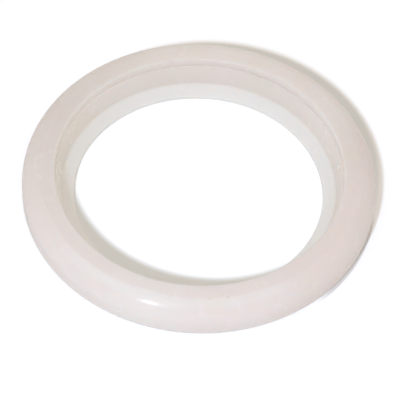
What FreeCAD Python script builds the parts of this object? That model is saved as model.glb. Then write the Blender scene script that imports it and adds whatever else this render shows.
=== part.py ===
import FreeCAD, Part
import math
import os

# Group head gasket: one moulded ring of milky silicone rubber. All sizes are in millimetres.
# The ring lies on its flat sealing face, which is the plane z = 0, with its axis on Z.
# Its section is worked out from the bore outwards, so the outside diameter follows from the widths.

# Bore and thin lip
lip_bore_diameter = 51.6
lip_land_height = 0.8
lip_width = 2.6
lip_rise = 1.5

# Inner wall: it leans outwards from the foot of the lip up to a small step, under a short steep mouth
wall_draft = 1.05
step_width = 0.25
mouth_height = 1.75
mouth_draft = 0.1

# Flat top, and a narrow bevel along its outer edge, whose angle is in degrees from level
height = 8.2
top_width = 3.1
bevel_width = 0.4
bevel_angle = 15

# Wide rounded shoulder, and the short straight outer wall with its rounded foot
shoulder_width = 3.2
outer_land_height = 2.25
bottom_radius = 1.75

# Small moulded edge radii
lip_foot_radius = 0.1
lip_edge_radius = 0.15
wall_foot_radius = 0.4
step_radius = 0.08
mouth_edge_radius = 0.25
bevel_edge_radius = 0.6

# Radii of the section's corners
lip_r = lip_bore_diameter / 2
wall_foot_r = lip_r + lip_width
step_r = wall_foot_r + wall_draft
mouth_foot_r = step_r + step_width
mouth_r = mouth_foot_r + mouth_draft
bevel_r = mouth_r + top_width
shoulder_r = bevel_r + bevel_width
outer_r = shoulder_r + shoulder_width

# Heights of the section's corners
wall_foot_z = lip_land_height + lip_rise
step_z = height - mouth_height
bevel_slope = math.tan(math.radians(bevel_angle))
shoulder_z = height - bevel_width * bevel_slope
outer_land_top = bottom_radius + outer_land_height


def point(radius, level):
    """A point of the section, which is drawn in the XZ plane."""
    return FreeCAD.Vector(radius, 0, level)


def rounded(before, tip, after, radius):
    """The arc that rounds the section's corner at tip, on its way from before to after."""
    back = (before - tip).normalize()
    onward = (after - tip).normalize()
    half_angle = back.getAngle(onward) / 2
    reach = radius / math.tan(half_angle)
    inward = (back + onward).normalize()
    middle = tip + inward * (radius / math.sin(half_angle) - radius)
    return Part.Arc(tip + back * reach, middle, tip + onward * reach)


def shoulder_curve():
    """A part of an ellipse that leaves the bevel in line with it and runs down into the outer wall."""
    meeting_z = shoulder_z - shoulder_width * bevel_slope
    curve = Part.BezierCurve()
    curve.setPoles([point(shoulder_r, shoulder_z), point(outer_r, meeting_z), point(outer_r, outer_land_top)])
    curve.setWeight(2, math.cos(math.radians(90 - bevel_angle) / 2))
    return curve


def section():
    """The closed section of the ring."""
    lip_foot = point(lip_r, 0)
    lip_edge = point(lip_r, lip_land_height)
    wall_foot = point(wall_foot_r, wall_foot_z)
    step_edge = point(step_r, step_z)
    mouth_foot = point(mouth_foot_r, step_z)
    mouth_edge = point(mouth_r, height)
    bevel_edge = point(bevel_r, height)
    shoulder = shoulder_curve()
    outer_wall = point(outer_r, outer_land_top)
    outer_foot = point(outer_r, 0)
    curves = [
        rounded(outer_foot, lip_foot, lip_edge, lip_foot_radius),
        rounded(lip_foot, lip_edge, wall_foot, lip_edge_radius),
        rounded(lip_edge, wall_foot, step_edge, wall_foot_radius),
        rounded(wall_foot, step_edge, mouth_foot, step_radius),
        rounded(step_edge, mouth_foot, mouth_edge, step_radius),
        rounded(mouth_foot, mouth_edge, bevel_edge, mouth_edge_radius),
        rounded(mouth_edge, bevel_edge, shoulder.StartPoint, bevel_edge_radius),
        shoulder,
        rounded(outer_wall, outer_foot, lip_foot, bottom_radius),
    ]
    edges = []
    for curve, following in zip(curves, curves[1:] + curves[:1]):
        edges.append(curve.toShape())
        if not curve.EndPoint.isEqual(following.StartPoint, Part.Precision.confusion()):
            edges.append(Part.LineSegment(curve.EndPoint, following.StartPoint).toShape())
    return Part.Face(Part.Wire(edges))


# The ring is the section turned once about its axis
axis = FreeCAD.Vector(0, 0, 1)
gasket_ring = section().revolve(FreeCAD.Vector(0, 0, 0), axis, 360)

os.makedirs("parts", exist_ok=True)
gasket_ring.exportStep("parts/gasket_ring.step")
print(f"outside diameter {outer_r * 2:.2f}, height {height:.2f}, bore {lip_bore_diameter:.2f}")
print(f"solid: {gasket_ring.ShapeType}, valid {gasket_ring.isValid()}, volume {gasket_ring.Volume:.1f}")
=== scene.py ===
"""Group head gasket: a milky silicone ring lying on a pale table, seen from the front and above."""

import math

import bpy
from mathutils import Matrix, Vector

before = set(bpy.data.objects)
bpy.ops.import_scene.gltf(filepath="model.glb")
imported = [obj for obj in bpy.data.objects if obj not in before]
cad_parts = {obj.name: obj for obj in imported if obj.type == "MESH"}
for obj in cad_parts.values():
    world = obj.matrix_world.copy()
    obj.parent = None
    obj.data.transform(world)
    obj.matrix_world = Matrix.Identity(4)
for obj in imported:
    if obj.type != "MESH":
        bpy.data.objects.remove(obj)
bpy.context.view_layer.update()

MM = 0.001
RING = "gasket_ring"

# Places of a Mix node's sockets when it mixes colours, as its names are shared by the sockets of its other types
MIX_MASK, MIX_FIRST, MIX_SECOND, MIX_RESULT = 0, 6, 7, 2

# Camera: where it looks, from how far, and how it is turned
TARGET = Vector((0.38 * MM, -1.80 * MM, 0))
CAMERA_DISTANCE = 0.518
CAMERA_ELEVATION = math.radians(51.62)
CAMERA_ROLL = math.radians(2.71)
SENSOR_WIDTH = 36.0
LENS = 225.0

# Key lamp: the way to it from the ring, with the azimuth counted from the front, and the lamp itself
KEY_AZIMUTH = math.radians(-20.0)
KEY_ELEVATION = math.radians(43.6)
KEY_DISTANCE = 0.9
KEY_SIZE = 0.08
KEY_POWER = 4.9
KEY_COLOUR = (0.66, 0.79, 1.0)
KEY_WAY = Vector((
    math.sin(KEY_AZIMUTH) * math.cos(KEY_ELEVATION),
    -math.cos(KEY_AZIMUTH) * math.cos(KEY_ELEVATION),
    math.sin(KEY_ELEVATION),
))

WORLD_COLOUR = (1.0, 0.933, 0.852)
WORLD_STRENGTH = 0.745

# Places on the ring's section, in metres: radius and height, or one of the two
LIP_FOOT = (28.4 * MM, 2.3 * MM)
STEP_CORNER = (29.6 * MM, 6.45 * MM)
MOUTH_EDGE = (29.9 * MM, 8.2 * MM)
SHOULDER_EDGE = (35.5 * MM, 6.8 * MM)
BORE_RADIUS = 25.8 * MM
OUTER_RADIUS = 36.5 * MM
PARTING_LINE_HEIGHT = 2.8 * MM

# Below, a SIDE is an azimuth, which counts from +X in degrees, with the two cosines of the angle from it between
# which a mask fades in. A SPAN is two values of a radius, height, distance or noise between which a mask fades in
# or out, and a SHARE is the most that a mask reaches.

# Table: its size, its colour to the camera and to other light, its glow to the camera, and its finish
TABLE_SIZE = 4.0
TABLE_SEEN_COLOUR = (1.0, 1.0, 1.0)
TABLE_COLOUR = (0.8, 0.8, 0.8)
TABLE_GLOW = 0.02
TABLE_FINISH = {"Roughness": 0.9, "Specular IOR Level": 0.1, "Emission Color": (1.0, 1.0, 1.0)}

# The ring's painted shadow on the table, inside the bore and behind the ring, and a painted dark line of shade
# where the ring meets the table
SHADOW_COLOUR = (0.78, 0.79, 0.775)
BORE_SHADOW_EDGE_SPAN = (MOUTH_EDGE[0] - 0.8 * MM, MOUTH_EDGE[0] + 0.5 * MM)
BORE_SHADOW_END_SPAN = (BORE_RADIUS + 2 * MM, BORE_RADIUS + 4 * MM)
BORE_SHADOW_SHARE = 0.8
REAR_SHADOW_EDGE_SPAN = (SHOULDER_EDGE[0] - 0.8 * MM, SHOULDER_EDGE[0] + 0.2 * MM)
REAR_SHADOW_SIDE = (60.0, 0.3, 0.9)
UNDER_RING_SPAN = (OUTER_RADIUS - 3 * MM, OUTER_RADIUS - 1 * MM)
CONTACT_SHADE_COLOUR = (0.36, 0.33, 0.31)
CONTACT_SHADE_SPAN = (OUTER_RADIUS + 0.1 * MM, OUTER_RADIUS + 0.45 * MM)
CONTACT_SHADE_SHARE = 0.5
CONTACT_SHADE_SIDE = (334.0, 0.93, 0.98)

# Silicone: its gloss, and how far light of each colour spreads in it and how much of it comes through
SILICONE_FINISH = {
    "IOR": 1.41,
    "Specular IOR Level": 0.72,
    "Subsurface Weight": 1.0,
    "Subsurface Radius": (1.0, 0.8, 0.7),
    "Subsurface Scale": 3.0 * MM,
}
THROUGH_COLOUR = (0.95, 0.92, 0.89)
THROUGH_SHARE = 0.5

# Colour round the outside of the ring, with painted light at the front and back and painted shade at the sides
# and the left back
BACK_AZIMUTH = 90.0
FRONT_TO_BACK_SPAN = (-0.9, 0.9)
FRONT_COLOUR = (0.925, 0.874, 0.862)
BACK_COLOUR = (0.885, 0.845, 0.800)
SIDE_COLOUR = (0.845, 0.795, 0.765)
LEFT_BACK_SIDE = (143.0, 0.75, 1.0)
LEFT_BACK_SHADE_TINT = (0.945, 0.945, 0.94)
RIGHT_FRONT_SIDE = (335.0, 0.85, 1.0)
RIGHT_FRONT_SHARE = 0.5
RIGHT_FRONT_COLOUR = (0.940, 0.865, 0.835)

# Colour of the inner wall, with painted light at its sides and painted shade at its right back and on its mouth
# above the step
INNER_SPAN = (29.8 * MM, 30.2 * MM)
INNER_BACK_COLOUR = (0.832, 0.795, 0.755)
INNER_SIDE_LIGHT_COLOUR = (0.955, 0.925, 0.885)
RIGHT_BACK_SIDE = (35.0, 0.6, 1.0)
RIGHT_BACK_SHADE_TINT = (0.95, 0.95, 0.95)
LEFT_SIDE = (178.0, 0.75, 1.0)
LEFT_TINT = (1.0, 1.0, 0.955)
MOUTH_SPAN = (STEP_CORNER[1] - 0.1 * MM, STEP_CORNER[1] + 0.2 * MM)
MOUTH_SHADE_TINT = (0.94, 0.94, 0.945)

# Painted sheen on the edge between top and shoulder at the front, and painted light on it at the far side
FRONT_BAND_START_SPAN = (32.8 * MM, 33.4 * MM)
FRONT_BAND_END_SPAN = (34.0 * MM, 35.4 * MM)
FRONT_BAND_SIDE = (262.0, 0.6, 0.95)
FRONT_BAND_SHARE = 0.75
FRONT_SHEEN_COLOUR = (0.995, 0.955, 0.94)
FAR_BAND_START_SPAN = (32.0 * MM, 33.4 * MM)
FAR_BAND_SIDE = (68.0, 0.6, 0.95)
FAR_BAND_SHARE = 0.45
FAR_LIT_BAND_COLOUR = (0.975, 0.945, 0.925)

# Clouding in pink, green and grey: a noise (scale, detail, roughness), its span, its share and its tint
CLOUDS = (
    ((55.0, 1.0, 0.5), (0.35, 0.65), 1.0, (1.0, 0.970, 0.990)),
    ((110.0, 2.0, 0.6), (0.5, 0.75), 1.0, (0.978, 1.0, 0.945)),
    ((420.0, 3.0, 0.6), (0.3, 0.7), 0.5, (0.97, 0.965, 0.96)),
)

# Thin lip, painted lighter where light comes through the thin silicone, most at the sides
LIP_SPAN = (27.9 * MM, 28.6 * MM)
LIP_GLOW_COLOUR = (0.97, 0.955, 0.925)
LIP_SIDE_GLOW_COLOUR = (1.0, 0.995, 0.965)
LIP_THROUGH_COLOUR = (1.0, 0.99, 0.96)

# Painted shade in the corners of the inner wall: their place, reach and share
SHADED_CORNERS = ((STEP_CORNER, 1.1 * MM, 0.03), (LIP_FOOT, 0.9 * MM, 0.01))
CORNER_SHADE_COLOUR = (0.35, 0.32, 0.29)

# Parting line, and the part of it that catches the light
LINE_SPAN = (0.05 * MM, 0.22 * MM)
LINE_RISE = 0.03 * MM
LIT_LINE_SIDE = (252.0, 0.96, 0.985)
LIT_LINE_RADIUS_SPAN = (36.0 * MM, 36.3 * MM)
LIT_LINE_SHARE = 0.6
LIT_LINE_COLOUR = (1.0, 0.97, 0.96)

# Specks, in cells of about 1 / scale metres
SPECK_SCALE = 150.0
SPECK_SPAN = (0.012, 0.026)
SPECK_SHARE = 0.35
SPECK_COLOUR = (0.38, 0.34, 0.30)

# Marks on the top, two nicks and a faint line, and a painted highlight streak on the edge: azimuth, radius,
# half length along the radius, half width across it, share and colour
MARKS_AND_HIGHLIGHT = (
    (281.9, 33.1 * MM, 0.28 * MM, 0.50 * MM, 0.33, (0.43, 0.37, 0.33)),
    (275.5, 33.2 * MM, 0.25 * MM, 0.75 * MM, 0.12, (0.43, 0.37, 0.33)),
    (267.6, 30.9 * MM, 0.90 * MM, 0.10 * MM, 0.20, (0.43, 0.40, 0.33)),
    # A painted highlight: a light streak on the edge of the top at the front left
    (254.0, 33.1 * MM, 0.50 * MM, 3.60 * MM, 0.85, (1.00, 0.96, 0.96)),
)
MARK_AND_HIGHLIGHT_SPAN = (0.3, 1.2)

# Skin: the noise, span and values of its roughness, a broad, shallow swelling at the front left (azimuth, reach
# and height), and the noise and height of its waviness and of its moulded grain
ROUGHNESS_NOISE = (260.0, 3.0, 0.6)
ROUGHNESS_SPAN = (0.3, 0.7)
ROUGHNESS = (0.22, 0.28)
SWELLING = (252.2, 8.0 * MM, 1.0 * MM)
WAVES = ((90.0, 1.0, 0.5), 0.12 * MM)
GRAIN = ((1500.0, 3.0, 0.6), 0.010 * MM)


def make_camera():
    """The camera of the photograph: a long lens, looking down at the ring and turned a little."""
    back = Vector((0, -math.cos(CAMERA_ELEVATION), math.sin(CAMERA_ELEVATION)))
    right = Vector((1, 0, 0))
    up = back.cross(right)
    rolled_right = right * math.cos(CAMERA_ROLL) + up * math.sin(CAMERA_ROLL)
    rolled_up = up * math.cos(CAMERA_ROLL) - right * math.sin(CAMERA_ROLL)
    turned = Matrix((rolled_right, rolled_up, back)).transposed().to_4x4()
    lens = bpy.data.cameras.new("camera")
    lens.sensor_width = SENSOR_WIDTH
    lens.lens = LENS
    camera = bpy.data.objects.new("camera", lens)
    camera.matrix_world = Matrix.Translation(TARGET + back * CAMERA_DISTANCE) @ turned
    bpy.context.scene.collection.objects.link(camera)
    bpy.context.scene.camera = camera


def make_key_lamp():
    """A small round lamp at the front left, which faces the ring."""
    lamp = bpy.data.lights.new("key", "AREA")
    lamp.shape = "DISK"
    lamp.size = KEY_SIZE
    lamp.energy = KEY_POWER
    lamp.color = KEY_COLOUR
    light = bpy.data.objects.new("key", lamp)
    light.location = KEY_WAY * KEY_DISTANCE
    light.rotation_euler = KEY_WAY.to_track_quat("Z", "Y").to_euler()
    bpy.context.scene.collection.objects.link(light)


def make_world():
    """Even, slightly warm light from all round."""
    world = bpy.data.worlds.new("world")
    world.use_nodes = True
    background = world.node_tree.nodes["Background"]
    background.inputs["Color"].default_value = (*WORLD_COLOUR, 1)
    background.inputs["Strength"].default_value = WORLD_STRENGTH
    bpy.context.scene.world = world


class Graph:
    """A material's node tree, with a short way to add each kind of node that is used here."""

    def __init__(self, material):
        material.use_nodes = True
        self.nodes = material.node_tree.nodes
        self.links = material.node_tree.links
        self.surface = self.nodes["Principled BSDF"]
        self.output = self.nodes["Material Output"]

    def set(self, socket, value):
        """Links value to the socket if it is another node's socket, or else writes it there."""
        if isinstance(value, bpy.types.NodeSocket):
            self.links.new(value, socket)
        elif isinstance(value, tuple) and len(value) == 3 and socket.type == "RGBA":
            socket.default_value = (*value, 1)
        else:
            socket.default_value = value

    def fill(self, values):
        """Writes the values that are the same all over the surface into the shader's own sockets."""
        for name, value in values.items():
            self.set(self.surface.inputs[name], value)

    def math(self, operation, *values, clamp=False):
        """The result of the operation on the values."""
        node = self.nodes.new("ShaderNodeMath")
        node.operation = operation
        node.use_clamp = clamp
        for socket, value in zip(node.inputs, values):
            self.set(socket, value)
        return node.outputs[0]

    def product(self, first, *others):
        """All the values multiplied."""
        for other in others:
            first = self.math("MULTIPLY", first, other)
        return first

    def length(self, *parts):
        """The length of the vector that has these parts."""
        total, *squares = [self.product(part, part) for part in parts]
        for square in squares:
            total = self.math("ADD", total, square)
        return self.math("SQRT", total)

    def ramp(self, value, span, low, high):
        """Goes smoothly from low to high while value crosses the span."""
        node = self.nodes.new("ShaderNodeMapRange")
        node.interpolation_type = "SMOOTHSTEP"
        names = ("Value", "From Min", "From Max", "To Min", "To Max")
        for name, number in zip(names, (value, *span, low, high)):
            self.set(node.inputs[name], number)
        return node.outputs["Result"]

    def fade_in(self, value, span, share=1.0):
        """A mask that goes up from 0 to the share while value crosses the span."""
        return self.ramp(value, span, 0.0, share)

    def fade_out(self, value, span, share=1.0):
        """A mask that goes down from the share to 0 while value crosses the span."""
        return self.ramp(value, span, share, 0.0)

    def mix(self, mask, first, second, blend="MIX"):
        """The first colour, and the second where the mask is 1."""
        node = self.nodes.new("ShaderNodeMix")
        node.data_type = "RGBA"
        node.blend_type = blend
        self.set(node.inputs[MIX_MASK], mask)
        self.set(node.inputs[MIX_FIRST], first)
        self.set(node.inputs[MIX_SECOND], second)
        return node.outputs[MIX_RESULT]

    def tint(self, mask, colour, tint):
        """The colour, multiplied by the tint where the mask is 1."""
        return self.mix(mask, colour, tint, "MULTIPLY")

    def noise(self, point, scale, detail, roughness):
        """Noise between 0 and 1, whose lumps are about 1 / scale metres across."""
        node = self.nodes.new("ShaderNodeTexNoise")
        self.set(node.inputs["Vector"], point)
        node.inputs["Scale"].default_value = scale
        node.inputs["Detail"].default_value = detail
        node.inputs["Roughness"].default_value = roughness
        return node.outputs["Fac"]

    def bump(self, height, distance, normal=None):
        """The normal, tilted by a relief that is distance high where height is 1."""
        node = self.nodes.new("ShaderNodeBump")
        node.inputs["Distance"].default_value = distance
        self.set(node.inputs["Height"], height)
        if normal is not None:
            self.set(node.inputs["Normal"], normal)
        return node.outputs["Normal"]


class Place:
    """Where a point of a surface is: its coordinates, its radius and how it lies to other places."""

    def __init__(self, graph):
        self.graph = graph
        self.point = graph.nodes.new("ShaderNodeTexCoord").outputs["Object"]
        split = graph.nodes.new("ShaderNodeSeparateXYZ")
        graph.set(split.inputs[0], self.point)
        self.x, self.y, self.z = split.outputs
        self.radius = graph.length(self.x, self.y)

    def out(self, azimuth):
        """The distance from the axis, measured along the azimuth."""
        a = math.radians(azimuth)
        return self.graph.math(
            "ADD", self.graph.product(self.x, math.cos(a)), self.graph.product(self.y, math.sin(a)))

    def across(self, azimuth):
        """The distance from the azimuth's line, measured square to it."""
        a = math.radians(azimuth)
        return self.graph.math(
            "SUBTRACT", self.graph.product(self.y, math.cos(a)), self.graph.product(self.x, math.sin(a)))

    def toward(self, azimuth):
        """The cosine of the angle round the axis between the point and the azimuth."""
        return self.graph.math("DIVIDE", self.out(azimuth), self.radius)

    def side(self, side, share=1.0):
        """A mask of a side of the ring."""
        azimuth, *span = side
        return self.graph.fade_in(self.toward(azimuth), span, share)

    def from_shadow(self, edge):
        """The distance on the table from the middle of the shadow that the key lamp casts of a round edge."""
        middle = -KEY_WAY * edge[1] / math.sin(KEY_ELEVATION)
        return self.graph.length(
            self.graph.math("SUBTRACT", self.x, middle.x), self.graph.math("SUBTRACT", self.y, middle.y))

    def from_corner(self, corner):
        """The distance from a corner of the section."""
        radius, height = corner
        return self.graph.length(
            self.graph.math("SUBTRACT", self.radius, radius), self.graph.math("SUBTRACT", self.z, height))

    def along(self, azimuth):
        """The distance from the azimuth to either side of it, and past any reach on the far side of the ring."""
        far_side = self.graph.math("LESS_THAN", self.toward(azimuth), 0.0)
        return self.graph.math("ADD", self.graph.math("ABSOLUTE", self.across(azimuth)), far_side)

    def beyond(self, azimuth, radius, length, width):
        """How far the point is from a mark on the top, in half lengths and half widths of the mark."""
        out = self.graph.math("SUBTRACT", self.out(azimuth), radius)
        down = self.graph.math("SUBTRACT", self.z, MOUTH_EDGE[1])
        return self.graph.length(
            self.graph.math("DIVIDE", out, length),
            self.graph.math("DIVIDE", self.across(azimuth), width),
            self.graph.math("DIVIDE", down, length))


def table_colour(graph):
    """White, with the ring's shadow painted deeper, and a thin dark line of painted shade where the ring meets
    the table.
    """
    place = Place(graph)
    beyond_ring = graph.fade_in(place.radius, UNDER_RING_SPAN)
    in_bore = graph.product(
        graph.fade_in(place.from_shadow(MOUTH_EDGE), BORE_SHADOW_EDGE_SPAN),
        graph.fade_out(place.radius, BORE_SHADOW_END_SPAN, BORE_SHADOW_SHARE))
    at_rear = graph.product(
        graph.fade_out(place.from_shadow(SHOULDER_EDGE), REAR_SHADOW_EDGE_SPAN),
        beyond_ring,
        place.side(REAR_SHADOW_SIDE))
    # Painted shade: a thin dark line on the table along the ring's foot at the right front
    contact_shade = graph.product(
        graph.fade_out(place.radius, CONTACT_SHADE_SPAN, CONTACT_SHADE_SHARE),
        beyond_ring,
        place.side(CONTACT_SHADE_SIDE))
    colour = graph.mix(graph.math("ADD", in_bore, at_rear, clamp=True), TABLE_SEEN_COLOUR, SHADOW_COLOUR)
    return graph.mix(contact_shade, colour, CONTACT_SHADE_COLOUR)


def make_table():
    """A pale table that the camera sees as white wherever the ring doesn't shade it."""
    material = bpy.data.materials.new("table")
    graph = Graph(material)
    seen = graph.nodes.new("ShaderNodeLightPath").outputs["Is Camera Ray"]
    graph.set(graph.surface.inputs["Base Color"], graph.mix(seen, TABLE_COLOUR, table_colour(graph)))
    graph.set(graph.surface.inputs["Emission Strength"], graph.product(seen, TABLE_GLOW))
    graph.fill(TABLE_FINISH)

    half = TABLE_SIZE / 2
    mesh = bpy.data.meshes.new("table")
    mesh.from_pydata([(-half, -half, 0), (half, -half, 0), (half, half, 0), (-half, half, 0)], [], [(0, 1, 2, 3)])
    mesh.materials.append(material)
    table = bpy.data.objects.new("table", mesh)
    bpy.context.scene.collection.objects.link(table)


def silicone_colour(graph, place, lip, line):
    """The ring's colour. The lip and line handed in are the masks of its lip and of its parting line."""
    backward = place.toward(BACK_AZIMUTH)
    sideways = graph.math("SUBTRACT", 1.0, graph.product(backward, backward))
    left = place.side(LEFT_SIDE)

    # Painted light and shade: a little lighter at the front and back, where light comes through the ring, than at
    # the sides, and darker at the left back
    colour = graph.mix(graph.fade_in(backward, FRONT_TO_BACK_SPAN), FRONT_COLOUR, BACK_COLOUR)
    colour = graph.mix(sideways, colour, SIDE_COLOUR)
    colour = graph.tint(place.side(LEFT_BACK_SIDE), colour, LEFT_BACK_SHADE_TINT)
    colour = graph.mix(place.side(RIGHT_FRONT_SIDE, RIGHT_FRONT_SHARE), colour, RIGHT_FRONT_COLOUR)

    # Painted light and shade on the inner wall: paler at the sides, where light that enters the ring comes out of
    # it, and darker at the right back and on the mouth above the step
    inner = graph.mix(sideways, INNER_BACK_COLOUR, INNER_SIDE_LIGHT_COLOUR)
    inner = graph.tint(place.side(RIGHT_BACK_SIDE), inner, RIGHT_BACK_SHADE_TINT)
    inner = graph.tint(left, inner, LEFT_TINT)
    inner = graph.tint(graph.fade_in(place.z, MOUTH_SPAN), inner, MOUTH_SHADE_TINT)
    colour = graph.mix(graph.fade_out(place.radius, INNER_SPAN), colour, inner)

    # Painted sheen on the edge between top and shoulder at the front, and painted light on it at the far side
    front_sheen = graph.product(
        graph.fade_in(place.radius, FRONT_BAND_START_SPAN),
        graph.fade_out(place.radius, FRONT_BAND_END_SPAN),
        place.side(FRONT_BAND_SIDE),
        FRONT_BAND_SHARE)
    colour = graph.mix(front_sheen, colour, FRONT_SHEEN_COLOUR)
    far_lit_band = graph.product(
        graph.fade_in(place.radius, FAR_BAND_START_SPAN), place.side(FAR_BAND_SIDE), FAR_BAND_SHARE)
    colour = graph.mix(far_lit_band, colour, FAR_LIT_BAND_COLOUR)

    # The silicone is cloudy
    for noise, span, share, tint in CLOUDS:
        colour = graph.tint(graph.fade_in(graph.noise(place.point, *noise), span, share), colour, tint)

    # Painted light: the thin lip is lighter, where light comes through it. Painted shade: the corners of the
    # inner wall are darker
    lip_glow_colour = graph.tint(left, graph.mix(sideways, LIP_GLOW_COLOUR, LIP_SIDE_GLOW_COLOUR), LEFT_TINT)
    colour = graph.mix(lip, colour, lip_glow_colour)
    # Painted shade in the corners of the inner wall
    for corner, reach, share in SHADED_CORNERS:
        shade = graph.fade_out(place.from_corner(corner), (0.0, reach), share)
        colour = graph.mix(shade, colour, CORNER_SHADE_COLOUR)

    # The parting line catches the light at the front left
    lit_line = graph.product(
        line, place.side(LIT_LINE_SIDE), graph.fade_in(place.radius, LIT_LINE_RADIUS_SPAN, LIT_LINE_SHARE))
    colour = graph.mix(lit_line, colour, LIT_LINE_COLOUR)

    # A few specks of dust are moulded into the skin
    cells = graph.nodes.new("ShaderNodeTexVoronoi")
    graph.set(cells.inputs["Vector"], place.point)
    cells.inputs["Scale"].default_value = SPECK_SCALE
    speck = graph.fade_out(cells.outputs["Distance"], SPECK_SPAN, SPECK_SHARE)
    colour = graph.mix(speck, colour, SPECK_COLOUR)

    # Real marks on the top, and one painted highlight streak at the front left
    for azimuth, radius, length, width, share, mark_or_highlight_colour in MARKS_AND_HIGHLIGHT:
        mark = graph.fade_out(place.beyond(azimuth, radius, length, width), MARK_AND_HIGHLIGHT_SPAN, share)
        colour = graph.mix(mark, colour, mark_or_highlight_colour)
    return colour


def skin_normal(graph, place, line):
    """The relief of the skin: a swelling, a slight waviness, a fine grain and a faint parting line."""
    azimuth, reach, rise = SWELLING
    normal = graph.bump(graph.fade_out(place.along(azimuth), (0.0, 2 * reach)), rise)
    for noise, noise_rise in (WAVES, GRAIN):
        normal = graph.bump(graph.noise(place.point, *noise), noise_rise, normal)
    return graph.bump(line, LINE_RISE, normal)


def silicone():
    """Milky silicone rubber: light spreads in it and comes through it, and its moulded skin is satin."""
    material = bpy.data.materials.new("silicone")
    graph = Graph(material)
    place = Place(graph)
    lip = graph.fade_out(place.radius, LIP_SPAN)
    from_line = graph.math("ABSOLUTE", graph.math("SUBTRACT", place.z, PARTING_LINE_HEIGHT))
    line = graph.fade_out(from_line, LINE_SPAN)
    normal = skin_normal(graph, place, line)
    roughness = graph.ramp(graph.noise(place.point, *ROUGHNESS_NOISE), ROUGHNESS_SPAN, *ROUGHNESS)

    graph.set(graph.surface.inputs["Base Color"], silicone_colour(graph, place, lip, line))
    graph.set(graph.surface.inputs["Roughness"], roughness)
    graph.set(graph.surface.inputs["Normal"], normal)
    graph.fill(SILICONE_FINISH)

    through = graph.nodes.new("ShaderNodeBsdfTranslucent")
    graph.set(through.inputs["Color"], graph.mix(lip, THROUGH_COLOUR, LIP_THROUGH_COLOUR))
    graph.set(through.inputs["Normal"], normal)
    both = graph.nodes.new("ShaderNodeMixShader")
    for socket, value in zip(both.inputs, (THROUGH_SHARE, graph.surface.outputs[0], through.outputs[0])):
        graph.set(socket, value)
    graph.set(graph.output.inputs["Surface"], both.outputs[0])
    return material


make_camera()
make_key_lamp()
make_world()
make_table()
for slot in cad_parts[RING].material_slots:
    slot.material = silicone()
bpy.context.scene.view_settings.view_transform = "Standard"
